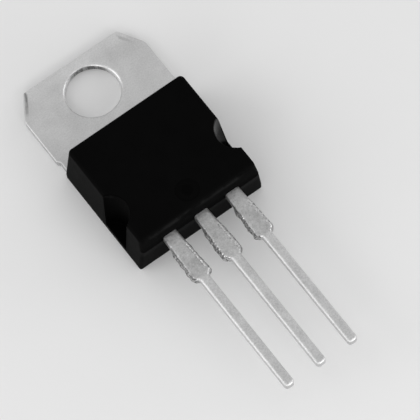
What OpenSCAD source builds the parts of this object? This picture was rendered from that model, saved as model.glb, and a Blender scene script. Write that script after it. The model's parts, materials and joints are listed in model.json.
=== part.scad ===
// Three-lead voltage regulator: a stamped metal tab with a moulded housing.
// It lies on its back. The origin is the middle of the mounting hole on the back face,
// +Z points out of the front face, and the leads run towards -Y.
// Lengths are in millimetres. A name that starts with "to_" is a distance from the middle
// of the mounting hole, and one that ends with "_up" is a distance from the lower end of the
// housing, both measured along the part.

/* [Sheet] */
// Thickness of the sheet that the tab and all three leads are stamped from
sheet_t = 0.55; // [0.4:0.01:0.7]
// Radius inside each bend of the sheet
bend_r = 0.35; // [0.2:0.05:0.6]
// Radius that the punch leaves along the front edges of the tab
roll_r = 0.12; // [0.05:0.01:0.2]

/* [Mounting tab] */
// Width of the tab
tab_w = 10; // [9.8:0.05:10.6]
// Distance from the middle of the mounting hole to the top edge of the tab
hole_to_top = 2.78; // [2.6:0.01:3.2]
// Radius of the mounting hole
hole_r = 1.92; // [1.5:0.01:2.05]
// Width of the slope at each top corner
slope_w = 1.12; // [0.6:0.01:1.6]
// Height of the slope at each top corner
slope_h = 1.9; // [1.2:0.05:2.4]
// Radius where the slope runs into the side edge
slope_r = 1; // [0.4:0.05:1.4]
// Radius at each top corner, where the slope meets the top edge
top_r = 0.2; // [0.1:0.05:0.4]
// Distance down the tab at which both side edges step in, just above the housing
to_step = 2.85; // [2.6:0.05:3.1]
// How far each side edge steps in
step_in = 0.2; // [0.1:0.01:0.4]
// Radius of the two corners of that step
step_r = 0.08; // [0.04:0.01:0.09]

/* [Chip pad] */
// Width of the pad that the tab turns into inside the housing
pad_w = 7; // [5.5:0.1:7.2]
// How far the stepped width of the tab reaches into the housing
anchor_l = 1; // [0.6:0.1:1.6]
// Distance up to the lower end of the pad
pad_up = 3.3; // [3.1:0.05:3.6]
// Radius of the pad's lower corners
pad_corner_r = 0.6; // [0.2:0.1:1.2]
// Radius of the punched corners that stay inside the housing
inner_r = 0.2; // [0.1:0.05:0.3]
// Radius of the half-round bite in each side of the pad that locks it in the housing
bite_r = 0.45; // [0.3:0.05:0.6]
// Width of the resin-lock groove across the front of the pad
groove_w = 0.3; // [0.1:0.05:0.5]
// Depth of that groove
groove_d = 0.12; // [0.05:0.01:0.2]

/* [Housing] */
// How far each side of the housing stands out past the tab
body_past_tab = 0; // [0:0.05:0.2]
// Thickness from the back face to the front face
body_t = 4.38; // [4.2:0.01:4.8]
// Distance from the hole to the upper end of the housing, at the back face
to_body = 3.9; // [3.6:0.05:4.1]
// Length of the housing in the plane of the leads
body_l = 9.1; // [8.9:0.05:9.3]
// Lean of the two sides, in degrees
side_lean = 5; // [2:0.5:8]
// Lean of the two ends, in degrees
end_lean = 7; // [3:0.5:9]
// Radius along the edges of the front face
front_r = 0.3; // [0.1:0.05:0.5]
// How far the upright corner edges are eased
corner_ease = 0.1; // [0.04:0.01:0.2]
// Radius of the half-round notch in each side, at the front face
notch_r = 1.44; // [1.2:0.02:1.5]
// How far the middle of a notch lies outside the back width
notch_out = 0.18; // [0:0.02:0.4]
// Distance up to the middle of the notches
notch_up = 3.12; // [3:0.02:3.5]
// Thickness of the ledge left under each notch
notch_floor = 0.6; // [0.4:0.05:1]
// Lean of the notch walls, in degrees
notch_lean = 4; // [1:0.5:6]
// Radius of the round ejector mark on the front face
mark_r = 0.85; // [0.5:0.05:0.95]
// Depth of the ejector mark
mark_d = 0.06; // [0.02:0.01:0.12]
// Distance up to the middle of the ejector mark
mark_up = 1.4; // [1.35:0.05:1.7]

/* [Leads] */
// Distance between neighbouring leads
pitch = 2.54; // [2.4:0.01:2.7]
// Height of the leads' back faces over the back of the tab
lead_z = 2.68; // [2.4:0.01:2.75]
// Angle of the strap that climbs from the pad to the lead plane
climb = 70; // [60:1:75]
// Length of the leads outside the housing
lead_l = 13.53; // [12.7:0.01:14.7]
// Width of a lead where it leaves the housing
root_w = 1.08; // [0.9:0.01:1.2]
// Width at the end of the shoulder, where the tie between the leads was cut off
shoulder_w = 1.36; // [1.14:0.01:1.7]
// Length of the shoulder
shoulder_l = 3.55; // [3.2:0.05:3.8]
// Length over which the shoulder narrows to the thin part
taper_l = 0.4; // [0.2:0.05:0.6]
// Radius of the corners at both ends of that taper
taper_r = 0.12; // [0.05:0.01:0.15]
// Width of the thin part
lead_w = 0.74; // [0.6:0.01:0.88]
// Radius of the corners at the tip
tip_r = 0.26; // [0.1:0.01:0.29]

/* [Bond posts] */
// Width of the post that each outer lead ends in, inside the housing
post_w = 1.9; // [1.5:0.05:2]
// Distance up to the upper end of the posts
post_up = 2.4; // [2.1:0.05:2.5]
// Length of a post
post_l = 1.25; // [1.1:0.05:1.4]
// Radius of the upper corners of a post
post_r = 0.3; // [0.1:0.05:0.5]
// Width of the strap between the pad and the centre lead
strap_w = 1.6; // [1.2:0.05:1.7]

/* [Chip] */
// Side of the silicon chip
die_w = 2.4; // [1.8:0.1:2.6]
// Thickness of the chip
die_t = 0.28; // [0.2:0.01:0.35]
// Thickness of the solder under the chip
solder_t = 0.05; // [0.02:0.01:0.08]
// How far the solder shows round the chip
solder_rim = 0.15; // [0.05:0.05:0.3]
// Distance from the lower end of the pad up to the middle of the chip
die_to_pad_end = 2.3; // [2.1:0.1:2.5]

/* [Bond wires] */
// Radius of the wires that carry the load current
load_wire_r = 0.125; // [0.1:0.005:0.15]
// Radius of the wire that only senses
sense_wire_r = 0.075; // [0.05:0.005:0.1]
// Radius of each loop of wire, as a multiple of half the span
loop_ratio = 1.15; // [1.05:0.01:1.4]
// Height of the pressed foot at each end of a wire, as a share of the wire's thickness
foot_press_ratio = 0.6; // [0.55:0.05:0.8]
// Width of a pressed foot, as a multiple of the wire's thickness
foot_width_ratio = 1.5; // [1.3:0.1:1.8]
// Length of a pressed foot, as a multiple of the wire's thickness
foot_length_ratio = 2.4; // [2:0.1:3]
// Distance from the chip's middle to the outer wires' feet, sideways
foot_x = 0.7; // [0.5:0.05:0.8]
// Distance from the chip's middle to the feet, along the part
foot_y = 0.6; // [0.4:0.05:0.7]
// Distance up to the foot on the centre lead
centre_foot_up = 0.75; // [0.6:0.05:0.8]

/* [Hidden] */

$fn = 96;
// Straight pieces in each eased corner of an outline
arc_steps = 8;
// How far a cutting shape reaches past what it cuts
over = 1;
// Share of a pressed foot's width that each of its corners is rounded by
foot_round = 0.45;

sheet_colour = "silver";
resin_colour = [0.09, 0.09, 0.1];
solder_colour = [0.6, 0.6, 0.62];
silicon_colour = [0.32, 0.33, 0.38];
wire_colour = [0.85, 0.86, 0.88];

body_w = tab_w + 2 * body_past_tab;
to_body_end = to_body + body_l;
to_pad_end = to_body_end - pad_up;
to_die = to_pad_end - die_to_pad_end;
to_groove = to_body + anchor_l / 2;
to_notch = to_body_end - notch_up;
to_mark = to_body_end - mark_up;
to_post = to_body_end - post_up;
to_tip = to_body_end + lead_l;
neck_w = tab_w - 2 * step_in;
front_lift = body_t - sheet_t;
side_in = front_lift * tan(side_lean);
parting_z = lead_z + sheet_t / 2;
strap_run = lead_z / tan(climb);
// The bend starts at the pad's end, so its back corner lies this much further down
to_climb = to_pad_end + (bend_r + sheet_t) * tan(climb / 2);
mitre = sheet_t * tan(climb / 2);
mark_z = body_t - mark_d;
die_z = sheet_t + solder_t;
die_top = die_z + die_t;
lead_top = lead_z + sheet_t;
notch_wall = body_t - notch_floor;
notch_floor_r = notch_r - notch_wall * tan(notch_lean);

// Height z of the housing's upper end, as a distance from the hole
function upper_end(z) = to_body + max(0, z - sheet_t) * tan(end_lean);
// The lower end leans both ways from the plane that the mould parts in
function lower_end(z) = to_body_end - abs(z - parting_z) * tan(end_lean);
// Half the width of the housing at height z
function half_width(z) = body_w / 2 - max(0, z - sheet_t) * tan(side_lean);

function unit(v) = v / norm(v);
function turned(v, a) = [v[0] * cos(a) - v[1] * sin(a), v[0] * sin(a) + v[1] * cos(a)];

// The corner at a point, or the arc of radius r that eases it
function eased_corner(before, at, after, r) =
    r == 0 ? [at] :
    let (
        u = unit(before - at),
        w = unit(after - at),
        half = acos(u * w) / 2,
        start = at + u * r / tan(half),
        centre = at + unit(u + w) * r / sin(half),
        sweep = (cross(u, w) > 0 ? -1 : 1) * (180 - 2 * half)
    )
    [for (i = [0:arc_steps]) centre + turned(start - centre, sweep * i / arc_steps)];

// An outline from corners, each [x, y, radius]
function eased(corners) =
    let (n = len(corners))
    [for (i = [0:n - 1])
        let (
            a = corners[(i + n - 1) % n],
            b = corners[i],
            c = corners[(i + 1) % n]
        )
        each eased_corner([a[0], a[1]], [b[0], b[1]], [c[0], c[1]], b[2])];

// The corners of a right half, closed by the same corners on the left
function both_halves(right) =
    concat(right, [for (i = [len(right) - 1:-1:0]) [-right[i][0], right[i][1], right[i][2]]]);

// A flat outline in distances from the hole, raised to a height
module plate(corners, z, t) {
    translate([0, 0, z])
        linear_extrude(height = t)
            polygon(eased(corners));
}

// A profile of [y, z] corners, drawn out to a full width
module across(corners, w) {
    rotate([90, 0, 90])
        translate([0, 0, -w / 2])
            linear_extrude(height = w)
                polygon(eased(corners));
}

// A profile of [x, z] corners, drawn out along the part between two distances
module along(corners, from, to) {
    translate([0, -from, 0])
        rotate([90, 0, 0])
            linear_extrude(height = to - from)
                polygon(eased(corners));
}

// Right half of a lead from the housing to its tip
function lead_half() = [
    [root_w / 2, -to_body_end, 0],
    [shoulder_w / 2, -(to_body_end + shoulder_l), taper_r],
    [lead_w / 2, -(to_body_end + shoulder_l + taper_l), taper_r],
    [lead_w / 2, -to_tip, tip_r]
];

// Right half of the tab, the pad, the strap and the centre lead
function frame_half() = concat(
    [
        [tab_w / 2 - slope_w, hole_to_top, top_r],
        [tab_w / 2, hole_to_top - slope_h, slope_r],
        [tab_w / 2, -to_step, step_r],
        [neck_w / 2, -(to_step + step_in), step_r],
        [neck_w / 2, -(to_body + anchor_l), inner_r],
        [pad_w / 2, -(to_body + anchor_l), inner_r],
        [pad_w / 2, -to_pad_end, pad_corner_r],
        [strap_w / 2, -to_pad_end, inner_r],
        [strap_w / 2, -(to_post + post_l), inner_r]
    ],
    lead_half()
);

// The bent sheet seen from the side: flat tab, climb, flat leads
module bent_sheet() {
    across([
        [hole_to_top, 0, 0],
        [hole_to_top, sheet_t, roll_r],
        [-(to_climb - mitre), sheet_t, bend_r],
        [-(to_climb + strap_run - mitre), lead_top, bend_r + sheet_t],
        [-(to_tip + over), lead_top, 0],
        [-(to_tip + over), lead_z, 0],
        [-(to_climb + strap_run), lead_z, bend_r],
        [-to_climb, 0, bend_r + sheet_t]
    ], tab_w);
}

// The sheet seen along the part, with the punch's roll on both front edges
module rolled_sides() {
    along(both_halves([
        [tab_w / 2, 0, 0],
        [tab_w / 2, sheet_t, roll_r],
        [strap_w, sheet_t, 0],
        [strap_w, body_t, 0]
    ]), -(hole_to_top + over), to_tip + over);
}

module mounting_hole() {
    translate([0, 0, -over])
        cylinder(r = hole_r, h = sheet_t + 2 * over);
    // The punch drew the front rim in a little
    translate([0, 0, sheet_t - roll_r / 2])
        cylinder(r1 = hole_r, r2 = hole_r + roll_r, h = roll_r);
}

module tab_frame() {
    color(sheet_colour)
        difference() {
            intersection() {
                plate(both_halves(frame_half()), 0, body_t);
                bent_sheet();
                rolled_sides();
            }
            mounting_hole();
            // Half-round bites in the sides of the pad
            for (side = [-1, 1])
                translate([side * pad_w / 2, -to_die, -over])
                    cylinder(r = bite_r, h = sheet_t + 2 * over);
            // The groove that keeps moisture and resin from creeping under the chip
            translate([-tab_w / 2, -to_groove - groove_w / 2, sheet_t - groove_d])
                cube([tab_w, groove_w, groove_d + over]);
        }
}

// An outer lead with its post, centred on its own line
module outer_lead() {
    plate(both_halves(concat(
        [
            [post_w / 2, -to_post, post_r],
            [post_w / 2, -(to_post + post_l), inner_r],
            [root_w / 2, -(to_post + post_l), inner_r]
        ],
        lead_half()
    )), lead_z, sheet_t);
}

module adjust_lead() {
    color(sheet_colour)
        translate([-pitch, 0, 0])
            outer_lead();
}

module input_lead() {
    color(sheet_colour)
        translate([pitch, 0, 0])
            outer_lead();
}

module die_solder() {
    pool = die_w / 2 + solder_rim;
    color(solder_colour)
        plate([
            [pool, pool - to_die, solder_rim],
            [-pool, pool - to_die, solder_rim],
            [-pool, -pool - to_die, solder_rim],
            [pool, -pool - to_die, solder_rim]
        ], sheet_t, solder_t);
}

module regulator_die() {
    color(silicon_colour)
        translate([-die_w / 2, -to_die - die_w / 2, die_z])
            cube([die_w, die_w, die_t]);
}

// A wire pressed flat where it was bonded, lying along +X
module pressed_foot(wire_r) {
    w = 2 * wire_r * foot_width_ratio;
    l = 2 * wire_r * foot_length_ratio;
    linear_extrude(height = 2 * wire_r * foot_press_ratio)
        polygon(eased([
            [l / 2, w / 2, w * foot_round],
            [-l / 2, w / 2, w * foot_round],
            [-l / 2, -w / 2, w * foot_round],
            [l / 2, -w / 2, w * foot_round]
        ]));
}

// One arc of wire in an upright plane, from a foot on the chip to a foot on a lead
module bond_wire(from, to, wire_r) {
    flat = [to[0] - from[0], to[1] - from[1]];
    run = norm(flat);
    rise = to[2] - from[2];
    chord = norm([run, rise]);
    loop_r = loop_ratio * chord / 2;
    pitch_up = atan2(rise, run);
    sag = sqrt(loop_r * loop_r - chord * chord / 4);
    // Middle of the loop, in the wire's own plane, with both ends lifted by the wire's radius
    lift = wire_r;
    cx = run / 2 + sag * sin(pitch_up);
    cz = rise / 2 - sag * cos(pitch_up) + lift;
    start = atan2(lift - cz, -cx);
    end = atan2(rise + lift - cz, run - cx);
    first = start < 0 ? start + 360 : start;
    translate(from)
        rotate([0, 0, atan2(flat[1], flat[0])]) {
            pressed_foot(wire_r);
            translate([run, 0, rise])
                pressed_foot(wire_r);
            translate([cx, 0, cz])
                rotate([90, 0, 0])
                    rotate([0, 0, end])
                        rotate_extrude(angle = first - end)
                            translate([loop_r, 0])
                                circle(r = wire_r);
        }
}

// Where the feet stand
die_foot_y = -(to_die + foot_y);
post_foot_y = -(to_post + post_l / 2);

module adjust_wire() {
    color(wire_colour)
        bond_wire(
            [-foot_x, die_foot_y, die_top], [-pitch, post_foot_y, lead_top],
            sense_wire_r
        );
}

module input_wire() {
    color(wire_colour)
        bond_wire(
            [foot_x, die_foot_y, die_top], [pitch, post_foot_y, lead_top],
            load_wire_r
        );
}

module output_wire() {
    color(wire_colour)
        bond_wire(
            [0, die_foot_y, die_top], [0, -(to_body_end - centre_foot_up), lead_top],
            load_wire_r
        );
}

// The housing before anything is cut from it: three leaning profiles crossed
module drafted_block() {
    intersection() {
        across([
            [-upper_end(0), 0, 0],
            [-upper_end(sheet_t), sheet_t, 0],
            [-upper_end(body_t), body_t, front_r],
            [-lower_end(body_t), body_t, front_r],
            [-lower_end(parting_z), parting_z, 0],
            [-lower_end(0), 0, 0]
        ], body_w);
        along(both_halves([
            [half_width(0), 0, 0],
            [half_width(sheet_t), sheet_t, 0],
            [half_width(body_t), body_t, front_r]
        ]), to_body, to_body_end);
    }
}

// A blade that eases one upright corner: it follows the corner up the leaning faces
module corner_blade(side, up) {
    heights = [-over, 0, sheet_t, parting_z, body_t, body_t + over];
    reach = 2 * to_body_end;
    face = [
        for (z = heights)
            let (along_y = up > 0 ? -upper_end(z) : lower_end(z))
            [(half_width(z) + along_y) * sqrt(0.5) - corner_ease, z]
    ];
    rotate([0, 0, side > 0 ? up * 45 : 180 - up * 45])
        translate([0, reach / 2, 0])
            rotate([90, 0, 0])
                linear_extrude(height = reach)
                    polygon(concat(face, [[reach, body_t + over], [reach, -over]]));
}

module side_notch(side) {
    translate([side * (body_w / 2 + notch_out), -to_notch, notch_floor])
        cylinder(r1 = notch_floor_r, r2 = notch_r + over * tan(notch_lean), h = notch_wall + over);
}

module moulded_body() {
    color(resin_colour)
        difference() {
            drafted_block();
            for (side = [-1, 1]) {
                side_notch(side);
                corner_blade(side, 1);
                corner_blade(side, -1);
            }
            translate([0, -to_mark, mark_z])
                cylinder(r = mark_r, h = mark_d + over);
            tab_frame();
            adjust_lead();
            input_lead();
            die_solder();
            regulator_die();
            adjust_wire();
            input_wire();
            output_wire();
        }
}

moulded_body();
tab_frame();
adjust_lead();
input_lead();
die_solder();
regulator_die();
adjust_wire();
input_wire();
output_wire();
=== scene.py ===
# %% [markdown]
# This lesson dresses a small electronic part: a voltage regulator in a three-lead tab package.
# The real object is one bent sheet of tinned copper with two loose leads beside it, and a black
# epoxy housing moulded round them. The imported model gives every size, so we load it first.

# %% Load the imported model
import json
import math

import bmesh
import bpy
from mathutils import Matrix, Vector, noise


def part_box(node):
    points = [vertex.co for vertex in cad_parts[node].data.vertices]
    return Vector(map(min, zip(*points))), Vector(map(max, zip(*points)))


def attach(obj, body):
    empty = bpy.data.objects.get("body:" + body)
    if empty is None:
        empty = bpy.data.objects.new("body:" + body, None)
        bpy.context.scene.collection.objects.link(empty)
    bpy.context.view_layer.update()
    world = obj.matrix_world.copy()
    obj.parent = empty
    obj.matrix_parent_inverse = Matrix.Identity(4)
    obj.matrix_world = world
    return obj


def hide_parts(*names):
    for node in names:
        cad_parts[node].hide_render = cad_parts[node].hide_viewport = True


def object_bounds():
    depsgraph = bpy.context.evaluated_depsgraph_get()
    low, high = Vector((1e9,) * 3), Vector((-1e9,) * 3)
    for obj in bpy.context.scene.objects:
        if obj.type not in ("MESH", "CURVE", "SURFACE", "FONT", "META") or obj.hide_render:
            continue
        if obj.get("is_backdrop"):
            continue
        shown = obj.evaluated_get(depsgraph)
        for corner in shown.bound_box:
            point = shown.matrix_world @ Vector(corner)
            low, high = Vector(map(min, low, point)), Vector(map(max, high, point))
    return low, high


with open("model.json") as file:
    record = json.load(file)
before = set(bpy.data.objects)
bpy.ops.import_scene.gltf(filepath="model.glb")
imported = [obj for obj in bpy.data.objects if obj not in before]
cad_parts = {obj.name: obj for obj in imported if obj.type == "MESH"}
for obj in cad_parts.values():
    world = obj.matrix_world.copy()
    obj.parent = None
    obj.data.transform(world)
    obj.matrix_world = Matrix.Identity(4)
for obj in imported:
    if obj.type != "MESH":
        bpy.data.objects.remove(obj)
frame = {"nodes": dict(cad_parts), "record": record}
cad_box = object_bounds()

MM = 0.001
print("nodes:", ", ".join(sorted(frame["nodes"])))

# %% [markdown]
# Most sizes can be read off the boxes of the loaded nodes. We work in millimetres, because a
# number such as 0.55 is easier to picture than 0.00055, and scale the meshes at the end.

# %% Read the main sizes
def box_mm(node):
    """Lowest and highest corner of a node, in millimetres."""
    low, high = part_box(node)
    return [round(v / MM, 3) for v in low], [round(v / MM, 3) for v in high]


housing_low, housing_high = box_mm("moulded_body")
frame_low, frame_high = box_mm("tab_frame")
lead_low, lead_high = box_mm("adjust_lead")

HOUSING_HALF = housing_high[0]
HOUSING_TOP = housing_high[1]
HOUSING_END = housing_low[1]
HOUSING_FRONT = housing_high[2]
TAB_HALF = frame_high[0]
TAB_TOP = frame_high[1]
TIP = frame_low[1]
LEAD_BACK = lead_low[2]
LEAD_FRONT = lead_high[2]
SHEET = LEAD_FRONT - LEAD_BACK
PITCH = -(lead_low[0] + lead_high[0]) / 2
POST_HALF = (lead_high[0] - lead_low[0]) / 2
POST_TOP = lead_high[1]
HOLE_R = frame["record"]["mounts"][0]["dims"]["r_mm"]
print(f"sheet {SHEET:.2f} mm, pitch {PITCH:.2f} mm, hole radius {HOLE_R:.2f} mm")

# %% [markdown]
# The rest of the shape is small: slopes, steps, shoulders, notches and roundings. They are
# written here once, as a maker's drawing would list them. Names that end in _R are radii,
# and names that end in _HALF are half widths, because every outline is drawn as a right half
# and then mirrored.

# %% Write down the small sizes
# The tab: its sloping upper corners, and the step in to the neck
SLOPE_W, SLOPE_H, SLOPE_R, TOP_R = 1.12, 1.9, 1.0, 0.2
STEP_Y, STEP_IN, STEP_R = -2.85, 0.2, 0.08
NECK_HALF = TAB_HALF - STEP_IN
# Inside the housing: the pad with its two bites, the climbing strap and the bond posts
ANCHOR_Y = HOUSING_TOP - 1.0
PAD_HALF, PAD_END, PAD_R = 3.5, HOUSING_END + 3.3, 0.6
BITE_R, BITE_Y = 0.45, HOUSING_END + 5.6
STRAP_HALF, INNER_R = 0.8, 0.2
BEND_R, CLIMB = 0.35, math.radians(70)
POST_L, POST_R = 1.25, 0.3
# The leads outside: root, shoulder, taper and tip
ROOT_HALF, SHOULDER_HALF, LEAD_HALF = 0.54, 0.68, 0.37
SHOULDER_Y = HOUSING_END - 3.55
TAPER_Y, TAPER_R, TIP_R = SHOULDER_Y - 0.4, 0.12, 0.26
# The housing: its leaning faces, the mould's parting plane, the notches and the ejector mark
SIDE_LEAN, END_LEAN, NOTCH_LEAN = (math.tan(math.radians(a)) for a in (5, 7, 4))
PARTING = (LEAD_BACK + LEAD_FRONT) / 2
NOTCH_R, NOTCH_OUT, NOTCH_FLOOR, NOTCH_Y = 1.44, 0.18, 0.6, HOUSING_END + 3.12
MARK_R, MARK_D, MARK_Y = 0.85, 0.06, HOUSING_END + 1.4
print(f"leads {2 * LEAD_HALF:.2f} mm wide, {2 * SHOULDER_HALF:.2f} mm at the shoulder")

# %% [markdown]
# The camera stands where the photographer's did: far back with a long lens, so the part hardly
# tapers. We aim it at a point near the middle of the part, and then turn it about its own line
# of sight until the leads run towards the lower right.

# %% Set up the camera
CAMERA_AT = Vector((-52.6, -122.35, 260.54)) * MM
LOOKS_AT = Vector((0.817, -12.721, 2.0)) * MM
CAMERA_ROLL = math.radians(-10.7)
LENS = 369.5
SENSOR = 36.0

camera_data = bpy.data.cameras.new("camera")
camera_data.lens = LENS
camera_data.sensor_width = SENSOR
camera = bpy.data.objects.new("camera", camera_data)
camera.location = CAMERA_AT
aim = (LOOKS_AT - CAMERA_AT).to_track_quat("-Z", "Y").to_matrix()
camera.rotation_euler = (aim @ Matrix.Rotation(CAMERA_ROLL, 3, "Z")).to_euler()
bpy.context.scene.collection.objects.link(camera)
bpy.context.scene.camera = camera
bpy.context.scene.view_settings.view_transform = "Standard"
print(f"camera {camera.location.length / MM:.0f} mm from the hole, lens {LENS:.0f} mm")

# %% [markdown]
# Punched and moulded outlines are straight lines joined by small arcs. One helper turns a list
# of corners, each with a radius, into points. It can also move the whole outline inwards while
# keeping the number of points. A bevel modifier could round the edges too, but it can't change
# its width along an outline, and stacked loops of points can.

# %% Draw outlines from rounded corners
ARC_STEPS = 8
LEAST_R = 0.2


def corner_arc(before, at, after, radius):
    """Points of the arc that rounds one corner, or the corner itself if the radius is 0."""
    if radius <= 0:
        return [at.copy()]
    u, w = (before - at).normalized(), (after - at).normalized()
    half = u.angle(w) / 2
    middle = at + (u + w).normalized() * radius / math.sin(half)
    start = at + u * radius / math.tan(half) - middle
    sweep = (math.pi - 2 * half) * (-1 if u.x * w.y - u.y * w.x > 0 else 1)
    return [middle + Matrix.Rotation(sweep * i / ARC_STEPS, 2) @ start for i in range(ARC_STEPS + 1)]


def rounded_loop(corners, inset=0.0, step=0.06):
    """Points along an anticlockwise outline of (x, y, radius) corners, moved inwards by inset."""
    count = len(corners)
    at = [Vector(corner[:2]) for corner in corners]
    out = [(at[(i + 1) % count] - at[i]).normalized() for i in range(count)]
    inward = [Vector((-d.y, d.x)) for d in out]
    moved = [
        at[i] + (inward[i - 1] + inward[i]) * inset / (1 + inward[i - 1].dot(inward[i]))
        for i in range(count)
    ]
    arcs = []
    for i in range(count):
        radius = corners[i][2]
        bulges = out[i - 1].x * out[i].y - out[i - 1].y * out[i].x > 0
        if radius > 0:
            radius = max(radius - inset, radius * LEAST_R) if bulges else radius + inset
        arcs.append(corner_arc(moved[i - 1], moved[i], moved[(i + 1) % count], radius))
    points = []
    for i in range(count):
        points += arcs[i]
        start, end = arcs[i][-1], arcs[(i + 1) % count][0]
        pieces = max(1, round((at[(i + 1) % count] - at[i]).length / step))
        points += [start.lerp(end, k / pieces) for k in range(1, pieces)]
    return points


print(f"an arc has {ARC_STEPS + 1} points and keeps at least {LEAST_R:.0%} of its radius")

# %% [markdown]
# A closed mesh needs three things: walls between the loops, flat covers at both ends, and
# normals that turn sharply at real corners and smoothly elsewhere. Where two loops share some
# points, the faces between those have no area, so we drop them before the piece is made.

# %% Turn loops of points into a piece
LEAST_EDGE = 1e-4
SHARP_ANGLE = math.radians(32)


def add_walls(bm, loops):
    """Joins each loop to the next by a band of faces and returns the rows of vertices."""
    rows = [[bm.verts.new(point) for point in loop] for loop in loops]
    for low, high in zip(rows, rows[1:]):
        for i in range(len(low)):
            j = (i + 1) % len(low)
            bm.faces.new((low[i], low[j], high[j], high[i]))
    return rows


def add_cover(bm, *rows):
    """Fills the area inside the first closed row of vertices, round any further rows."""
    edges = []
    for row in rows:
        edges += [bm.edges.get((row[i - 1], row[i])) for i in range(len(row))]
    bmesh.ops.triangle_fill(bm, use_beauty=True, use_dissolve=False, edges=edges)


def make_piece(name, bm):
    """Drops faces without area, scales the mesh to metres, sets its normals and links it."""
    bmesh.ops.dissolve_degenerate(bm, dist=LEAST_EDGE, edges=bm.edges)
    bmesh.ops.recalc_face_normals(bm, faces=bm.faces)
    for vert in bm.verts:
        vert.co *= MM
    mesh = bpy.data.meshes.new(name)
    bm.to_mesh(mesh)
    bm.free()
    mesh.shade_smooth()
    mesh.set_sharp_from_angle(angle=SHARP_ANGLE)
    piece = bpy.data.objects.new(name, mesh)
    bpy.context.scene.collection.objects.link(piece)
    print(f"{name}: {len(mesh.polygons)} faces")
    return piece


# %% [markdown]
# A strap climbs from the pad to the plane of the leads. Along its middle layer a bent sheet
# keeps its length, so two bends and a slope need more sheet than their plan length. The
# difference is how much further down the centre lead lies in the flat blank.

# %% Work out the bend allowance
MID_R = BEND_R + SHEET / 2
TANGENT = MID_R * math.tan(CLIMB / 2)
STRAP_RUN = LEAD_BACK / math.tan(CLIMB)
STRAP_L = math.hypot(STRAP_RUN, LEAD_BACK) - 2 * TANGENT
BEND_L = MID_R * CLIMB
FLAT_START = PAD_END - 2 * BEND_L - STRAP_L
SPARE = PAD_END - STRAP_RUN - 2 * TANGENT - FLAT_START
print(f"the strap takes {SPARE:.2f} mm more sheet than its plan length")

# %% [markdown]
# Tab and leads come out of a press, which leaves its marks. A shallow line runs beside the
# tab's sloping corners, nearer the edge and deeper on the left, as a clamp would leave it.
# Bars between the leads were cut off at the shoulders, so these stay ragged: their walls lean
# out and are torn, and a broken crease runs beside the right edge.
# Sculpting could give all this once. Functions of the place give the same marks in every run
# and for every lead, so we use two: one presses the front in, and one pushes the walls out.

# %% Describe the marks of the press
GROOVE_LEFT, GROOVE_RIGHT, GROOVE_W, GROOVE_D = 0.2, 0.38, 0.07, 0.03
CREASE_IN, CREASE_W, CREASE_D = 0.19, 0.042, 0.034
CREASE_SIZE, CREASE_SHARE_LEFT = 0.28, 0.3
CUT_LEAN, LEAN_SIZE = 0.14, 0.35
COARSE_TEAR, COARSE_SIZE = 0.024, 0.17
FINE_TEAR, FINE_SIZE = 0.014, 0.06


def ramp(value, start, end):
    """0 before start, 1 after end, and smooth between them."""
    t = min(1, max(0, (value - start) / (end - start)))
    return t * t * (3 - 2 * t)


def hump(value, middle, width):
    """1 at the middle, falling to 0 on both sides like a bell."""
    return math.exp(-(((value - middle) / width) ** 2))


def in_shoulder(y):
    """1 along the ragged part of a lead and 0 elsewhere."""
    return ramp(y, TAPER_Y + 0.02, TAPER_Y + 0.2) * (1 - ramp(y, HOUSING_END - 1.4, HOUSING_END - 0.8))


def on_slope(x, y):
    """1 beside the sloping corners of the tab and 0 elsewhere."""
    beside = ramp(abs(x), TAB_HALF - SLOPE_W - 0.25, TAB_HALF - SLOPE_W - 0.1)
    return beside * ramp(y, TAB_TOP - SLOPE_H + 0.1, TAB_TOP - SLOPE_H + 0.3)


def grain(x, y, size, seed):
    """Smooth noise between about -1 and 1, with features of the given size."""
    return noise.noise(Vector((x / size, y / size, 7.3 * seed)))


def pressed(x, y, inset, seed):
    """How far the front surface is pressed in near an edge."""
    groove_in, groove_d = (GROOVE_RIGHT, GROOVE_D / 2) if x > 0 else (GROOVE_LEFT, GROOVE_D)
    groove = groove_d * hump(inset, groove_in, GROOVE_W) * on_slope(x, y)
    share = 1.0 if x > 0 else CREASE_SHARE_LEFT
    broken = ramp(grain(x, y, CREASE_SIZE, seed + 3), -0.35, 0.05)
    crease = CREASE_D * hump(inset, CREASE_IN, CREASE_W) * share * broken * in_shoulder(y)
    return groove + crease


def pushed_out(x, y, height, seed):
    """How far the cut wall of a shoulder stands out, at a height between 0 and 1."""
    coarse = COARSE_TEAR * grain(x, y, COARSE_SIZE, seed + 1)
    fine = FINE_TEAR * grain(x + 0.4 * height, y, FINE_SIZE, seed + 2)
    tear_and_shade = CUT_LEAN * (1 - height) * (0.8 + 0.7 * grain(x, y, LEAN_SIZE, seed + 4))
    return (coarse + fine + tear_and_shade) * in_shoulder(y)


middle_y = (TAPER_Y + HOUSING_END - 0.8) / 2
print(f"share of the marks in the middle of a shoulder: {in_shoulder(middle_y):.2f}")

# %% [markdown]
# Every punched edge has the same kind of section: a sharp back, a straight wall, and a front
# that the punch has rolled over. The roll is small along the tab, wider along the shoulders,
# wide along the thin leads and widest round the hole. A list of insets and heights describes
# each section. All four lists have the same length, so that one section can pass into another
# along an outline, which a modifier with one profile couldn't do.

# %% Sections through the punched edges
ROLL_STEPS, FRONT_STEPS = 6, 10


def quarter_round(steps):
    """How much of a quarter round is done, and how much is to go, at even steps of its turn."""
    turns = [math.pi / 2 * k / steps for k in range(steps + 1)]
    return [(1 - math.cos(turn), 1 - math.sin(turn)) for turn in turns]


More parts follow.
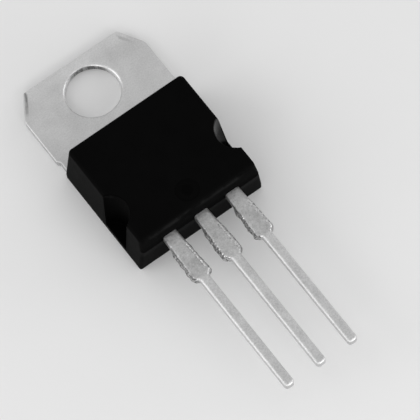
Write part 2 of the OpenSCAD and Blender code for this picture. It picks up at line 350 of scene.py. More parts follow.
def edge_section(width, depth, reach):
    """(inset, height, share of the wall's shaking) of each loop, from the back to the front."""
    section = [(0.07, 0.0, 1.0), (0.035, 0.0, 1.0), (0.01, 0.008, 1.0), (0.0, 0.03, 1.0)]
    section += [(0.0, (SHEET - depth) * share, 1.0) for share in (0.3, 0.55, 0.8)]
    for done, to_go in quarter_round(ROLL_STEPS):
        section.append((width * done, SHEET - depth * to_go, 1 - ramp(done, 0.2, 1)))
    for k in range(1, FRONT_STEPS + 1):
        section.append((width + (reach - width) * k / FRONT_STEPS, SHEET, 0.0))
    return section


TAB_EDGE = edge_section(0.09, 0.07, 0.5)
LEAD_EDGE = edge_section(0.25, 0.18, 0.305)
SHOULDER_EDGE = edge_section(0.16, 0.13, 0.28)
HOLE_EDGE = edge_section(0.28, 0.2, 0.34)
print(f"loops in each section: {len(TAB_EDGE)}")

# %% [markdown]
# With those, one function can build any flat stamping from its outline and its round hole. It
# stacks loops from the back to the front. Outside the housing the thin leads have their own
# section, the shoulders take theirs, and everything above the housing's end has the tab's. The
# tab's top edge is a little wavy, as a worn punch leaves it.

# %% Build a flat stamping
HOLE_POINTS = 160
EDGE_WAVE, WAVE_SIZE, WAVE_SEED = 0.03, 0.6, 9


def mixed(start, end, share):
    """A value between start and end, by a share from 0 to 1."""
    return start + (end - start) * share


def stamping(corners, hole_radius=0, spare=0.0, seed=0):
    """A flat sheet with rolled front edges, as a mesh in millimetres with its back at z = 0."""
    bm = bmesh.new()
    loops, rim = [], []
    turns = [2 * math.pi * k / HOLE_POINTS for k in range(HOLE_POINTS)]
    for on_lead, on_shoulder, on_tab, at_hole in zip(LEAD_EDGE, SHOULDER_EDGE, TAB_EDGE, HOLE_EDGE):
        loop = []
        outlines = [rounded_loop(corners, level[0]) for level in (on_lead, on_shoulder, on_tab)]
        for p, q, r in zip(*outlines):
            y = p.y + spare if p.y < PAD_END else p.y
            ragged, above = in_shoulder(y), ramp(y, HOUSING_END, HOUSING_END + 0.5)
            inset, height, edge = (
                mixed(mixed(a, b, ragged), c, above) for a, b, c in zip(on_lead, on_shoulder, on_tab)
            )
            p = p.lerp(q, ragged).lerp(r, above)
            out = pushed_out(p.x, y, height / SHEET, seed) * edge * (1 if p.x > 0 else -1)
            wave = EDGE_WAVE * (0.5 + 0.7 * grain(p.x, 0, WAVE_SIZE, WAVE_SEED))
            wave = wave * edge * ramp(y, TAB_TOP - 0.3, TAB_TOP)
            drop = pressed(p.x, y, inset, seed) if edge == 0 else 0
            loop.append(Vector((p.x + out, p.y - max(0, wave), height - drop)))
        loops.append(loop)
        radius = hole_radius + at_hole[0]
        rim.append([Vector((radius * math.cos(t), radius * math.sin(t), at_hole[1])) for t in turns])
    rows = [add_walls(bm, loops)]
    if hole_radius:
        rows.append(add_walls(bm, rim))
    add_cover(bm, *[row[0] for row in rows])
    add_cover(bm, *[row[-1] for row in rows])
    print(f"stamped {len(loops)} loops of {len(loops[0])} points")
    return bm


# %% [markdown]
# The tab, the pad under the chip, the climbing strap and the centre lead are one sheet. We
# stamp it flat, as the press does, and bend it afterwards. Each point keeps its distance from
# the middle layer and travels along it: through the first bend, up the slope, through the
# second bend and on along the lead. An armature could bend the sheet too, but it would stretch
# it, and this way the length comes out as worked out above.

# %% Bend the flat sheet
def bent(point):
    """Where a point of the flat sheet goes when the sheet is bent up to the lead plane."""
    x, flat_y, height = point
    lift = height - SHEET / 2
    travel = PAD_END - flat_y
    if travel <= 0:
        return Vector((x, flat_y, height))
    y, z = PAD_END, SHEET / 2
    first = min(travel, BEND_L) / MID_R
    y -= MID_R * math.sin(first)
    z += MID_R * (1 - math.cos(first))
    turned = first
    straight = min(max(travel - BEND_L, 0), STRAP_L)
    y -= straight * math.cos(CLIMB)
    z += straight * math.sin(CLIMB)
    second = min(max(travel - BEND_L - STRAP_L, 0), BEND_L) / MID_R
    y -= MID_R * (math.sin(CLIMB) - math.sin(CLIMB - second))
    z += MID_R * (math.cos(CLIMB - second) - math.cos(CLIMB))
    turned -= second
    y -= max(travel - 2 * BEND_L - STRAP_L, 0)
    return Vector((x, y + lift * math.sin(turned), z + lift * math.cos(turned)))


tip = bent((0, TIP - SPARE, 0))
print(f"the back of the centre lead's tip comes to y {tip.y:.2f} mm and z {tip.z:.2f} mm")

# %% [markdown]
# The outlines are given for the right half and mirrored. Below the bends, the flat outline
# lies further down by the length that the bends use up.

# %% Outline of the lead, the frame and an outer lead
def lead_corners(shift=0.0):
    """Right half of a lead outside the housing, listed from the tip upwards."""
    return [
        (LEAD_HALF, TIP - shift, TIP_R),
        (LEAD_HALF, TAPER_Y - shift, TAPER_R),
        (SHOULDER_HALF, SHOULDER_Y - shift, TAPER_R),
        (ROOT_HALF, HOUSING_END - shift, 0),
    ]


def both_halves(right):
    """A closed anticlockwise outline from its right half."""
    return right + [(-x, y, radius) for x, y, radius in reversed(right)]


def bite():
    """The half-round bite in the right side of the pad, from its lower to its upper end."""
    turns = [math.pi * k / 12 for k in range(13)]
    return [(PAD_HALF - BITE_R * math.sin(t), BITE_Y - BITE_R * math.cos(t), 0) for t in turns]


frame_outline = both_halves(
    lead_corners(SPARE)
    + [(STRAP_HALF, PAD_END - 3.0, INNER_R), (STRAP_HALF, PAD_END, INNER_R)]
    + [(PAD_HALF, PAD_END, PAD_R)]
    + bite()
    + [(PAD_HALF, ANCHOR_Y, INNER_R), (NECK_HALF, ANCHOR_Y, INNER_R)]
    + [(NECK_HALF, STEP_Y - STEP_IN, STEP_R), (TAB_HALF, STEP_Y, STEP_R)]
    + [(TAB_HALF, TAB_TOP - SLOPE_H, SLOPE_R), (TAB_HALF - SLOPE_W, TAB_TOP, TOP_R)]
)
outer_outline = both_halves(
    lead_corners()
    + [(ROOT_HALF, POST_TOP - POST_L, INNER_R), (POST_HALF, POST_TOP - POST_L, INNER_R)]
    + [(POST_HALF, POST_TOP, POST_R)]
)
print(f"corners: frame {len(frame_outline)}, outer lead {len(outer_outline)}")

# %% [markdown]
# The ragged shoulder of the centre lead has to land beside those of its neighbours. So the
# stamping is told how much spare length lies in the bends, and works out its press marks for
# the place where each point ends up. Before we bend the flat mesh, cuts across it give the
# bends edges to turn on.

# %% Make the tab with its centre lead
BEND_CUTS = 8


def tab_with_lead():
    """The whole bent sheet: tab, pad, strap and centre lead."""
    bm = stamping(frame_outline, HOLE_R, SPARE, seed=1)
    cuts = [PAD_END - BEND_L * k / BEND_CUTS for k in range(BEND_CUTS + 1)]
    cuts += [cut - BEND_L - STRAP_L for cut in cuts]
    for cut in cuts:
        everything = bm.verts[:] + bm.edges[:] + bm.faces[:]
        bmesh.ops.bisect_plane(
            bm, geom=everything, plane_co=(0, cut, 0), plane_no=(0, 1, 0), dist=LEAST_EDGE
        )
    for vert in bm.verts:
        vert.co = bent(vert.co)
    return make_piece("tab_and_centre_lead", bm)


tab = tab_with_lead()
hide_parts("tab_frame")
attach(tab, "root")

# %% [markdown]
# The two outer leads are cut from the same sheet, but nothing joins them to the tab. Each one
# is flat and ends inside the housing in a wide post, where its bond wire lands. One function
# makes both. Copies of one mesh would show the same tears twice, so each lead has its own seed.

# %% Make the two outer leads
def outer_lead(name, middle, node, seed):
    """An outer lead with its bond post, moved to its place in the lead plane."""
    bm = stamping(outer_outline, seed=seed)
    for vert in bm.verts:
        vert.co += Vector((middle, 0, LEAD_BACK))
    piece = make_piece(name, bm)
    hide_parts(node)
    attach(piece, "root")
    return piece


left_lead = outer_lead("left_lead", -PITCH, "adjust_lead", seed=20)
right_lead = outer_lead("right_lead", PITCH, "input_lead", seed=40)

# %% [markdown]
# The housing is a block with leaning faces, so each level has its own outline. We stack loops
# of equal length from the back to the front. In the lowest levels the points of the notch lie
# on the straight side, and from the ledge upwards on the notch's wall, so the ledge appears
# by itself between two loops at the same height. A boolean cut could make the notches too, but
# it would leave no even band of faces for their rounded rims.

# %% Outline of the housing at a height
NOTCH_STEPS, SIDE_STEPS, END_STEPS = 40, 24, 48
RIM_STEPS = 4
CORNER_LOW, CORNER_HIGH, CORNER_LEAST = 0.16, 0.34, 0.07


def half_at(z):
    """Half width of the housing at a height."""
    return HOUSING_HALF - max(0, z - SHEET) * SIDE_LEAN


def top_at(z):
    """Upper end of the housing at a height."""
    return HOUSING_TOP - max(0, z - SHEET) * END_LEAN


def end_at(z):
    """Lower end of the housing at a height. It leans both ways from the parting plane."""
    return HOUSING_END + abs(z - PARTING) * END_LEAN


def side_points(half, start, stop, z):
    """Points of the straight side between two places, without the places themselves."""
    return [Vector((half, start + (stop - start) * k / SIDE_STEPS, z)) for k in range(1, SIDE_STEPS)]


def housing_loop(z, inset=0.0, notch=1.0, notch_inset=0.0, z_notch=None, flash=0.0):
    """One anticlockwise loop of the housing: lower end, right side, upper end, left side.

    The notch is 0 on the straight side and 1 on the notch's wall, which can have an inset and
    a height of its own. The flash pushes the lower end out.
    """
    half, top, end = half_at(z) - inset, top_at(z) - inset, end_at(z) + inset - flash
    corner = CORNER_LOW + (CORNER_HIGH - CORNER_LOW) * z / HOUSING_FRONT
    corner = max(corner - inset, CORNER_LEAST)
    turns = [math.pi / 2 * k / ARC_STEPS for k in range(ARC_STEPS + 1)]
    middle = HOUSING_HALF + NOTCH_OUT
    z_notch = z if z_notch is None else z_notch
    radius = NOTCH_R - (HOUSING_FRONT - z_notch) * NOTCH_LEAN + notch_inset
    reach = math.acos((middle - half) / radius)
    mouth = radius * math.sin(reach)

    right = [Vector(((half - corner) * k / END_STEPS, end, z)) for k in range(END_STEPS)]
    lower_x, lower_y = half - corner, end + corner
    right += [Vector((lower_x + corner * math.sin(t), lower_y - corner * math.cos(t), z)) for t in turns]
    right += side_points(half, end + corner, NOTCH_Y - mouth, z)
    for k in range(NOTCH_STEPS + 1):
        turn = reach * (2 * k / NOTCH_STEPS - 1)
        wall_x = middle - radius * math.cos(turn)
        height = z + (z_notch - z) * min(1, min(k, NOTCH_STEPS - k) / RIM_STEPS)
        right.append(Vector((half + (wall_x - half) * notch, NOTCH_Y + radius * math.sin(turn), height)))
    right += side_points(half, NOTCH_Y + mouth, top - corner, z)
    upper_x, upper_y = half - corner, top - corner
    right += [Vector((upper_x + corner * math.cos(t), upper_y + corner * math.sin(t), z)) for t in turns]
    right += [Vector(((half - corner) * k / END_STEPS, top, z)) for k in range(END_STEPS - 1, 0, -1)]
    left = [Vector((-p.x, p.y, p.z)) for p in reversed(right[1:])]
    return right + [Vector((0, top, z))] + left


print("points in a loop of the housing:", len(housing_loop(1.0)))

# %% [markdown]
# The mould closes in the plane of the leads, and a hair of flash is left there at the lower
# end. The front edge is a quarter round that is wide along the outside and narrow along the
# notches. The loops below the ledge already use the ledge's own notch radius, so that both
# loops at the ledge share their points on the straight side.

# %% Stack the housing
EDGE_R, NOTCH_EDGE_R, LEDGE_R, BACK_R = 0.27, 0.09, 0.06, 0.05
LIP_D, LIP_SHARE = 0.04, 0.06
BACK_COVER_IN, FRONT_COVER_IN, NOTCH_COVER_IN = 0.03, 0.04, 0.03
FLASH = 0.025
MARK_POINTS = 96


def lower_loops():
    """Loops from the back cover up to the outer lip of the notches' ledge."""
    loops = [housing_loop(0, BACK_R + BACK_COVER_IN, 0, -LEDGE_R)]
    for done, to_go in quarter_round(4):
        loops.append(housing_loop(BACK_R * done, BACK_R * to_go, 0, -LEDGE_R))
    loops += [housing_loop(z, 0, 0, -LEDGE_R) for z in (0.3, SHEET)]
    for done, to_go in quarter_round(3):
        loops.append(housing_loop(NOTCH_FLOOR - LIP_D * to_go, 0, LIP_SHARE * done, -LEDGE_R))
    return loops


def upper_loops():
    """Loops from the foot of the notches' walls up to the front cover."""
    loops = []
    for done, to_go in quarter_round(3):
        loops.append(housing_loop(NOTCH_FLOOR + LEDGE_R * done, notch_inset=-LEDGE_R * to_go))
    loops += [housing_loop(z) for z in (1.2, 2.0, PARTING - 0.06)]
    loops += [housing_loop(PARTING - 0.02, flash=FLASH), housing_loop(PARTING + 0.02, flash=FLASH)]
    loops += [housing_loop(z) for z in (PARTING + 0.06, 3.4, HOUSING_FRONT - EDGE_R - 0.1)]
    for done, to_go in quarter_round(8):
        z, z_notch = HOUSING_FRONT - EDGE_R * to_go, HOUSING_FRONT - NOTCH_EDGE_R * to_go
        loops.append(housing_loop(z, EDGE_R * done, notch_inset=NOTCH_EDGE_R * done, z_notch=z_notch))
    cover_in, notch_in = EDGE_R + FRONT_COVER_IN, NOTCH_EDGE_R + NOTCH_COVER_IN
    return loops + [housing_loop(HOUSING_FRONT, cover_in, notch_inset=notch_in)]


def mark_loops():
    """The ejector pin's round mark, from the front face down to its floor."""
    levels = [(MARK_R + 0.03, 0), (MARK_R + 0.012, -0.003), (MARK_R, -0.015)]
    levels += [(MARK_R - 0.01, -MARK_D + 0.012), (MARK_R - 0.03, -MARK_D), (MARK_R - 0.06, -MARK_D)]
    turns = [2 * math.pi * k / MARK_POINTS for k in range(MARK_POINTS)]
    return [
        [Vector((r * math.cos(t), MARK_Y + r * math.sin(t), HOUSING_FRONT + dz)) for t in turns]
        for r, dz in levels
    ]


def moulded_housing():
    """The epoxy housing with the ejector mark in its front."""
    bm = bmesh.new()
    walls = add_walls(bm, lower_loops() + upper_loops())
    mark = add_walls(bm, mark_loops())
    add_cover(bm, walls[0])
    add_cover(bm, walls[-1], mark[0])
    add_cover(bm, mark[-1])
    return make_piece("epoxy_housing", bm)


housing = moulded_housing()

# %% [markdown]
# On the back, the metal pad shows in the resin. The outline of the pad is pressed into the
# housing's back, a hair deep, so that metal and resin never share a surface. The cutter is a
# thin slab, and Blender's exact boolean keeps the walls clean. We apply it at once, so that
# the piece is a plain mesh afterwards.

# %% Press the pad into the back
PRESS_DEPTH, PRESS_GAP = 0.05, 0.004


def pad_cutter():
    """A slab with the outline of the neck and the pad, a hair wider than the metal."""
    right = [(PAD_HALF, PAD_END, PAD_R)] + bite()
    right += [(PAD_HALF, ANCHOR_Y, INNER_R), (NECK_HALF, ANCHOR_Y, INNER_R), (NECK_HALF, HOUSING_TOP + 1, 0)]
    flat = rounded_loop(both_halves(right), -PRESS_GAP, step=1.0)
    bm = bmesh.new()
    rows = add_walls(bm, [[Vector((p.x, p.y, z)) for p in flat] for z in (-1.0, PRESS_DEPTH)])
    add_cover(bm, rows[0])
    add_cover(bm, rows[-1])
    return make_piece("pad_cutter", bm)


def cut_away(piece, cutter):
    """Takes the cutter's volume out of the piece and deletes the cutter."""
    step = piece.modifiers.new("cut", "BOOLEAN")
    step.operation = "DIFFERENCE"
    step.solver = "EXACT"
    step.object = cutter
    with_cut = piece.evaluated_get(bpy.context.evaluated_depsgraph_get())
    cut_mesh = bpy.data.meshes.new_from_object(with_cut)
    piece.modifiers.clear()
    piece.data = cut_mesh
    bpy.data.objects.remove(cutter)
    print(f"{piece.name}: {len(cut_mesh.polygons)} faces after the cut")


cut_away(housing, pad_cutter())
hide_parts("moulded_body")
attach(housing, "root")

# %% [markdown]
# Now the finishes. A finish is arithmetic on patterns: how rough, how dark, how bumpy at each
# point. A small class wraps a node's output, so that we can write that arithmetic as Python.
# Values make Math nodes and vectors make Vector Math nodes. Every colour here is a neutral
# grey, so it is worked out as one value and becomes a colour last. A tinted finish would mix
# its colours with a Mix node, because a Math node turns a colour grey.

# %% Shader maths in Python
class Signal:
    """The output of a shader node, with the usual operators."""

    def __init__(self, finish, socket, kind="value"):
        self.finish, self.socket, self.kind = finish, socket, kind

    def combined(self, operation, left, right):
        """A new maths node for two values or for two vectors."""
        maths = "VectorMath" if self.kind == "vector" else "Math"
        return self.finish.node(maths, {"operation": operation}, {0: left, 1: right}, kind=self.kind)

    def __add__(self, other):
        return self.combined("ADD", self, other)

    def __radd__(self, other):
        return self.combined("ADD", other, self)

    def __sub__(self, other):
        return self.combined("SUBTRACT", self, other)

    def __rsub__(self, other):
        return self.combined("SUBTRACT", other, self)

    def __mul__(self, other):
        return self.combined("MULTIPLY", self, other)

    def __rmul__(self, other):
        return self.combined("MULTIPLY", other, self)


print("operators of a signal: + - *")

# %% [markdown]
# A second class holds the material that is being made. Its method node adds any node, and the
# other methods are short names for the ones that we need often. All patterns are placed in
# millimetres of the object, so that a grain is as large as we say on every piece.

# %% A material in the making
class Finish:
    """A material that is being made, with one shader and any number of nodes."""

    def __init__(self, name):
        self.material = bpy.data.materials.new(name)
        self.material.use_nodes = True
        self.tree = self.material.node_tree
        self.tree.nodes.clear()
        self.mm = self.node("TexCoord", output="Object", kind="vector") * (1 / MM, 1 / MM, 1 / MM)

    def node(self, kind_of_node, settings=None, inputs=None, output=0, kind="value"):
        """Adds a node: first its settings, then the values or links of its sockets."""
        node = self.tree.nodes.new("ShaderNode" + kind_of_node)
        for name, value in (settings or {}).items():
            setattr(node, name, value)
        for name, value in (inputs or {}).items():
            if isinstance(value, Signal):
                self.tree.links.new(value.socket, node.inputs[name])
            else:
                node.inputs[name].default_value = value
        return Signal(self, node.outputs[output], kind) if node.outputs else None

    def parts(self, vector):
        """The x, y and z of a vector."""
        return [self.node("SeparateXYZ", None, {0: vector}, output=name) for name in "XYZ"]

    def facing(self):
        """The direction in which the surface faces, as x, y and z."""
        return self.parts(self.node("NewGeometry", output="Normal", kind="vector"))

    def absolute(self, value):
        """The value without its sign."""
        return self.node("Math", {"operation": "ABSOLUTE"}, {0: value})

    def distance(self, aside, y, middle):
        """How far a place lies from a middle, both seen in plan."""
        plan = self.node("CombineXYZ", None, {0: aside, 1: y}, kind="vector")
        inputs = {0: plan, 1: (*middle, 0)}
        return self.node("VectorMath", {"operation": "DISTANCE"}, inputs, output="Value")

    def noise(self, size, detail, rough, at=None):
        """Cloudy noise from 0 to 1 whose features are about size millimetres across."""
        inputs = {"Vector": at or self.mm, "Scale": 1 / size, "Detail": detail, "Roughness": rough}
        return self.node("TexNoise", None, inputs, output="Fac")

    def between(self, value, start, end, low=0.0, high=1.0):
        """Low where the value is start, high where it is end, smooth and limited outside."""
        inputs = {"Value": value, "From Min": start, "From Max": end, "To Min": low, "To Max": high}
        return self.node("MapRange", {"interpolation_type": "SMOOTHSTEP"}, inputs)

    def shade(self, grey):
        """A neutral colour from a value between 0 and 1."""
        return self.node("CombineColor", None, {0: grey, 1: grey, 2: grey})

    def bump(self, height_mm):
        """A normal from a height in millimetres."""
        inputs = {"Height": height_mm, "Strength": 1.0, "Distance": MM}
        return self.node("Bump", None, inputs, output="Normal", kind="vector")

    def surface(self, constants, varying):
        """Ends the material: constants go on the shader's own sockets, the rest is linked."""
        shader = self.node("BsdfPrincipled", None, {**constants, **varying}, output="BSDF")
        self.node("OutputMaterial", None, {"Surface": shader})
        print(f"{self.material.name}: {len(self.tree.nodes)} nodes")
        return self.material


# %% [markdown]
# Electroplated matt tin is a soft grey metal. It is made of grains a few hundredths of a
# millimetre across, so reflections blur, and it carries faint clouds from handling. We begin
# with the tab's press line. Its shape is in the mesh, and its tin is darker too: painted shade
# for the crease, placed by the same distance from the sloping edge that placed the groove.

# %% Where painted shade darkens the press line
SLOPE_L = math.hypot(SLOPE_W, SLOPE_H)
SLOPE_X, SLOPE_Y = SLOPE_H / SLOPE_L, SLOPE_W / SLOPE_L


def press_line_shade(f, x, y, z):
    """Painted shade: 1 along the dark line beside the tab's sloping corners, fainter on the right, and 0
    elsewhere.
    """
    aside = f.absolute(x)
    from_slope = (TAB_HALF - aside) * SLOPE_X + (TAB_TOP - SLOPE_H - y) * SLOPE_Y
    left = f.between(x, 1, -1)
    off_groove = f.absolute(from_slope - GROOVE_RIGHT + (GROOVE_RIGHT - GROOVE_LEFT) * left)
    # Painted shade: the tin's colour is darkened along the groove.
    groove_shade = f.between(off_groove, 0.15, 0.05) * (0.45 + 0.55 * left)
    groove_shade = groove_shade * f.between(aside, TAB_HALF - SLOPE_W - 0.25, TAB_HALF - SLOPE_W - 0.1)
    groove_shade = groove_shade * f.between(y, TAB_TOP - SLOPE_H + 0.1, TAB_TOP - SLOPE_H + 0.9) * f.between(z, 0.3, 0.4)
    return groove_shade * f.between(f.noise(0.9, 2, 0.5), 0.34, 0.56, 0.45, 1.0)


print(f"the tab's corners slope over {SLOPE_L:.2f} mm")

# %% [markdown]
# A punch shears the upper part of a hole's wall and tears the rest. Here the wall's tone is
# painted light: one side gets painted shade, streaked like torn metal, and the other side a
# painted highlight. The direction in which the wall faces tells the two sides apart. The streaks
# run through the sheet, so their noise is stretched along z.

# %% Where the hole's wall gets painted shade and where it gets a painted highlight
SHADE_X, SHADE_Y = -0.39, -0.92
STREAK_SIZE, STREAK_STRETCH = 0.16, 0.15


def hole_wall_light(f, from_hole):
    """Masks of the painted shade, streaked like a tear, and of the painted highlight on the hole's wall."""
    facing_x, facing_y, _ = f.facing()
    in_hole = f.between(from_hole, HOLE_R + 0.05, HOLE_R + 0.01)
    # The side facing this way gets painted shade, and the other side a painted highlight.
    shaded_side = f.between(SHADE_X * facing_x + SHADE_Y * facing_y, 0.6, 0.95)
    streaks = f.noise(STREAK_SIZE, 3, 0.7, at=f.mm * (1, 1, STREAK_STRETCH))
    tear_and_shade = in_hole * shaded_side * f.between(streaks, 0.36, 0.6, 0.4, 1.0)
    return tear_and_shade, in_hole * (1 - shaded_side)


print(f"the torn side faces {math.degrees(math.atan2(SHADE_Y, SHADE_X)):.0f} degrees in plan")

# %% [markdown]
# On the cut shoulders the tin is missing or smeared, and dull metal and resin show. Faces that
# look sideways were cut, so the wear grows with how far they turn away from the front. Along
# the rims small torn flakes are smoother and get painted glints. A painted mask would have to be redone for
# every lead.

# %% Where the shoulders are worn
PATCH_SIZE, SPARK_SIZE = 0.2, 0.09


def shoulder_wear(f, y):
    """Masks of the flakes with their painted glints and of the worn places, and the patches that shape them.
    """
    sideways = f.absolute(f.facing()[0])
    ragged = f.between(y, TAPER_Y, TAPER_Y + 0.15) * f.between(y, HOUSING_END - 0.8, HOUSING_END - 1.3)
    patches = f.between(f.noise(PATCH_SIZE, 3, 0.7), 0.42, 0.58)
    flakes = f.between(f.noise(SPARK_SIZE, 2, 0.6), 0.52, 0.62)
    # The flakes are smoother, and they also get a painted glint in their tone.
    glinting_flakes = ragged * f.between(sideways, 0.06, 0.2) * flakes
    worn = ragged * f.between(sideways, 0.25, 0.7) * (0.1 + 0.9 * patches)
    return glinting_flakes, worn, patches


print(f"worn patches about {PATCH_SIZE} mm across, sparks about {SPARK_SIZE} mm")

# %% [markdown]
# Now the tin itself. Its tone starts from one grey and is multiplied by what each mark does:
# the tab is a little lighter at the top, a painted sheen, and beside the hole, and darker in a
# strip along the housing, a painted shade, and the shoulders are dull. The same patterns move
# the gloss and the fine relief, so that a dark speck is also a rough one, as on real metal.

# %% Tin plate
TIN, TIN_WORN = 0.62, 0.14
CLOUD_SHARE, SPECKLE_SHARE, LEAD_SPECKLE_SHARE, MOTTLE_SHARE = 0.4, 0.5, 0.3, 0.7
SHOULDER_DARK, HOUSING_SHADE_DARK, GROOVE_SHADE_DARK, WALL_SHADE_DARK = 0.18, 0.14, 0.62, 0.75
TOP_SHEEN_BRIGHT, HOLE_BRIGHT, WALL_HIGHLIGHT_BRIGHT, GLINT_BRIGHT = 0.1, 0.05, 0.35, 0.55
TIN_ROUGH = 0.42


def tin_plate():
    """Matt tin for every stamping."""
    f = Finish("matt_tin_plate")
    x, y, z = f.parts(f.mm)
    from_hole = f.distance(x, y, (0, 0))
    # Painted shade along the press line's groove.
    groove_shade = press_line_shade(f, x, y, z)
    # Painted shade on one side of the hole's wall and a painted highlight on the other.
    tear_and_shade, wall_highlight = hole_wall_light(f, from_hole)
    # The flakes carry painted glints as well as a lower roughness.
    glinting_flakes, worn, patches = shoulder_wear(f, y)
    lead = f.between(y, HOUSING_END + 0.2, HOUSING_END - 0.2)
    shoulder = f.between(y, TAPER_Y - 0.1, TAPER_Y + 0.3) * lead
    # Painted sheen: the tab is lighter towards its top.
    painted_top_sheen = f.between(y, TAB_TOP - 1.2, TAB_TOP - 0.4)
    # Painted shade: the tab is darker in a strip along the housing.
    painted_housing_shade = f.between(y, HOUSING_TOP + 1.4, HOUSING_TOP + 0.4) * (1 - lead)
    near_hole = f.between(from_hole, HOLE_R + 0.7, HOLE_R + 0.1) * f.between(y, -1, 1)
    rubbed = f.between(from_hole, HOLE_R + 0.2, HOLE_R + 0.1)
    clouds = f.noise(1.7, 4, 0.6) - 0.5
    speckle = f.noise(0.11, 3, 0.65) - 0.5
    grains = f.noise(0.05, 2, 0.5) - 0.5
    mottle = shoulder * (f.noise(0.3, 3, 0.65) - 0.5)

    tone = 1.02 + CLOUD_SHARE * clouds + speckle * (SPECKLE_SHARE + LEAD_SPECKLE_SHARE * lead)
    grey = TIN * (tone + MOTTLE_SHARE * mottle) * (1 - SHOULDER_DARK * shoulder)
    grey = grey * (1 + TOP_SHEEN_BRIGHT * painted_top_sheen + HOLE_BRIGHT * near_hole) * (1 - HOUSING_SHADE_DARK * painted_housing_shade)
    grey = grey * (1 - worn) * (1 - GROOVE_SHADE_DARK * groove_shade) * (1 - WALL_SHADE_DARK * tear_and_shade) + TIN_WORN * worn
    grey = grey * (1 + WALL_HIGHLIGHT_BRIGHT * wall_highlight) * (1 + GLINT_BRIGHT * glinting_flakes)
    roughness = TIN_ROUGH + 0.1 * clouds + 0.15 * speckle + 0.2 * worn - 0.25 * glinting_flakes - 0.1 * rubbed
    height = (0.004 * grains + 0.008 * speckle) * (1 + lead) + 0.016 * clouds
    height = height + 0.03 * patches * worn + 0.02 * mottle
    return f.surface(
        {"Metallic": 1.0},
        {"Base Color": f.shade(grey), "Roughness": roughness, "Normal": f.bump(height)},
    )


tin = tin_plate()
for piece in (tab, left_lead, right_lead):
    piece.data.materials.append(tin)

# %% [markdown]
# The housing's surface tells how it was moulded. The ejector pin's mark is a little darker
# than the face round it, and its middle is darker still. The notches hardly get any light. But
# the lower part of a notch's wall shines, most of all near the front, perhaps because a pin of
# the carrier rubbed there. The lower front edge gets a painted highlight in a few places.

# %% Marks on the housing
PIN_R = 0.45
HIGHLIGHT_IN = 0.3


def ejector_mark(f, aside, y, z):
    """Masks of the ejector pin's mark and of its darker middle."""
    on_front = f.between(z, HOUSING_FRONT - 0.4, HOUSING_FRONT - 0.2)
    from_mark = f.distance(aside, y, (0, MARK_Y))
    in_mark = on_front * f.between(from_mark, MARK_R, MARK_R - 0.06)
    return in_mark, on_front * f.between(from_mark, PIN_R, PIN_R - 0.09)


def polished_wall(f, aside, y, z, facing_x, facing_y):
    """Mask of the rubbed part of a notch's wall, strongest near the front."""
    beside = f.between(y, NOTCH_Y - 0.1, NOTCH_Y + 0.6) * f.between(y, NOTCH_Y + 1.7, NOTCH_Y + 1.5)
    beside = beside * f.between(aside, HOUSING_HALF - 1.5, HOUSING_HALF - 1.3)
    polished = beside * f.between(facing_y, -0.2, -0.6) * f.between(facing_x, 0.1, 0.3)
    return polished * f.between(z, HOUSING_FRONT - 0.2, HOUSING_FRONT - 1.9, 1.4, 0.4)


def painted_edge_highlight(f, z, facing_y):
    """Mask of the painted highlight along the lower front edge."""
    off_highlight = f.absolute(z - (HOUSING_FRONT - HIGHLIGHT_IN))
    # Painted highlight in a band below the lower front edge's rounding.
    edge_highlight = f.between(off_highlight, HIGHLIGHT_IN, 0.0) * f.between(facing_y, -0.5, -0.9)
    return edge_highlight * f.between(f.noise(1.2, 4, 0.6), 0.4, 0.65)


print(f"ejector mark {2 * MARK_R:.1f} mm across, its middle {2 * PIN_R:.1f} mm")

# %% [markdown]
# The epoxy is nearly black, because it is filled with carbon, and its mould was spark-eroded
# and then polished a little. It has a fine even pebble and a dull gloss. Its gloss is lower
# than that of clear plastic, which the shader's specular level sets. A second clear layer, the
# shader's coat, is there only where the wall of a notch is polished.

# %% Black moulding epoxy
EPOXY, EDGE_HIGHLIGHT_GREY = 0.0024, 0.009
MARK_DARK, PIN_DARK, NOTCH_DARK = 0.14, 0.22, 0.75
EPOXY_ROUGH = 0.45
POLISH = 0.42


def moulding_epoxy():
    """The black filled resin of the housing."""
    f = Finish("black_moulding_epoxy")
    x, y, z = f.parts(f.mm)
    aside = f.absolute(x)
    facing_x, facing_y, _ = f.facing()
    in_mark, pin_middle = ejector_mark(f, aside, y, z)
    from_notch = f.distance(aside, y, (HOUSING_HALF + NOTCH_OUT, NOTCH_Y))
    in_notch = f.between(from_notch, NOTCH_R + 0.08, NOTCH_R)
    polished = polished_wall(f, aside, y, z, facing_x, facing_y)
    edge_highlight = painted_edge_highlight(f, z, facing_y)
    pebble = f.noise(0.05, 2, 0.55)
    clouds = f.noise(1.3, 4, 0.55)
    flow = f.noise(0.35, 3, 0.6)

    grey = EPOXY * (0.8 + 0.4 * clouds) * (1 - MARK_DARK * in_mark - PIN_DARK * pin_middle)
    # The painted highlight along the lower front edge is added here.
    grey = grey * (1 - NOTCH_DARK * in_notch) + EDGE_HIGHLIGHT_GREY * edge_highlight
    roughness = EPOXY_ROUGH + 0.1 * clouds + 0.06 * (flow - 0.5)
    height = 0.002 * pebble + 0.002 * flow
    return f.surface(
        {"Specular IOR Level": 0.009, "Coat Roughness": 0.25},
        {
            "Base Color": f.shade(grey),
            "Roughness": roughness,
            "Coat Weight": POLISH * polished,
            "Normal": f.bump(height),
        },
    )


epoxy = moulding_epoxy()
housing.data.materials.clear()
housing.data.materials.append(epoxy)

# %% [markdown]
# The chip, its solder and the bond wires are sealed in. Nobody sees them in the picture, but
# they are parts of the model, so they get true finishes of their own. Solder and drawn wire
# differ only in tone, gloss and grain, so one function makes both. The chip is polished, and
# a brick pattern stands for the lanes between the fields of its circuit.

# %% Finishes inside the housing
LANE_SCALE, LANE_W = 6.0, 0.03


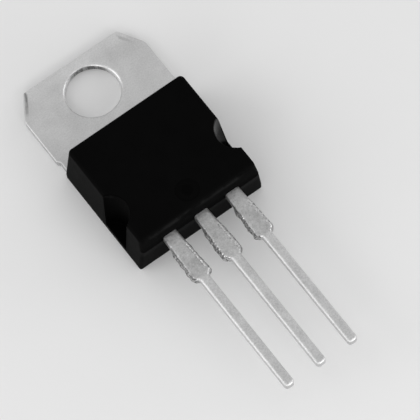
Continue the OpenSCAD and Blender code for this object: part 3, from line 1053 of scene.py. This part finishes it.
def inner_metal(name, grey, rough, size):
    """A soft metal with a fine cast or drawn surface."""
    f = Finish(name)
    grains = f.noise(size, 3, 0.6)
    return f.surface(
        {"Metallic": 1.0},
        {
            "Base Color": f.shade(grey * (0.9 + 0.2 * grains)),
            "Roughness": rough + 0.2 * (grains - 0.5),
            "Normal": f.bump(0.002 * grains),
        },
    )


def polished_silicon():
    """The chip's dark mirror with its paler lanes."""
    f = Finish("polished_silicon")
    inputs = {"Vector": f.mm, "Scale": LANE_SCALE, "Mortar Size": LANE_W}
    lanes = f.node("TexBrick", None, inputs, output="Fac")
    grey = 0.16 + 0.2 * lanes
    return f.surface(
        {"Metallic": 0.6},
        {"Base Color": f.shade(grey), "Roughness": 0.15 + 0.2 * lanes},
    )


inner_finishes = {
    "die_solder": inner_metal("soft_solder", 0.5, 0.45, 0.08),
    "regulator_die": polished_silicon(),
}
drawn_wire = inner_metal("drawn_aluminium_wire", 0.75, 0.3, 0.03)
for node in ("adjust_wire", "input_wire", "output_wire"):
    inner_finishes[node] = drawn_wire
for node, material in inner_finishes.items():
    mesh = frame["nodes"][node].data
    mesh.materials.clear()
    mesh.materials.append(material)
    print(f"{node}: {material.name}")

# %% [markdown]
# The part lies on a plain pale table. The floor is wide enough to fill every view and sits a
# hair below the part, so that the flat back never fights with it for the same place.

# %% The pale floor
FLOOR_GAP = 0.00003
FLOOR_SIZE = 4.0
FLOOR_GREY = 0.78


def pale_floor():
    """A wide sheet of pale paper under the part."""
    bpy.ops.mesh.primitive_plane_add(size=FLOOR_SIZE, location=(0, 0, -FLOOR_GAP))
    floor = bpy.context.active_object
    floor.name = "floor"
    f = Finish("pale_paper")
    grey = FLOOR_GREY + 0.02 * f.noise(8.0, 2, 0.5)
    paper = f.surface({"Roughness": 0.9, "Specular IOR Level": 0.1}, {"Base Color": f.shade(grey)})
    floor.data.materials.append(paper)
    floor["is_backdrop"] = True
    return floor


floor = pale_floor()
print(f"floor {FLOOR_SIZE:.0f} m wide, {FLOOR_GAP / MM:.2f} mm below the part")

# %% [markdown]
# Four soft square lamps stand low round the part: left, front left, front and right. Low light
# catches the flanks of the leads and the sides of the housing, and leaves the black front dark.
# Nothing but the even pale world lights the part from above, which keeps the metal bright
# without a hot spot. A lamp above it would wash out the press marks.

# %% Lights and world
WORLD_GREY = 0.7


def soft_light(name, at, size, power):
    """A square area light, placed in millimetres and aimed at the middle of the part."""
    data = bpy.data.lights.new(name, "AREA")
    data.energy = power
    data.size = size * MM
    light = bpy.data.objects.new(name, data)
    light.location = Vector(at) * MM
    light.rotation_euler = (LOOKS_AT - light.location).to_track_quat("-Z", "Y").to_euler()
    bpy.context.scene.collection.objects.link(light)
    print(f"{name}: {power} W from a {size} mm square, {light.location.length / MM:.0f} mm away")


soft_light("key_left", (-260, 100, 120), 240, 0.21)
soft_light("front_left", (-190, -190, 130), 160, 0.16)
soft_light("front", (60, -270, 110), 160, 0.27)
soft_light("right", (265, -90, 60), 160, 0.11)

world = bpy.data.worlds.new("studio")
bpy.context.scene.world = world
world.use_nodes = True
world.node_tree.nodes["Background"].inputs["Color"].default_value = (1, 1, 1, 1)
world.node_tree.nodes["Background"].inputs["Strength"].default_value = WORLD_GREY

# %% [markdown]
# Last, the script prints both boxes, the one of the loaded model and the one of the
# dressed part.

# %% Print the sizes
boxes = {"cad": cad_box, "visual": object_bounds()}
for name, (low, high) in boxes.items():
    print(name, "box in mm:", [round((b - a) / MM, 2) for a, b in zip(low, high)])
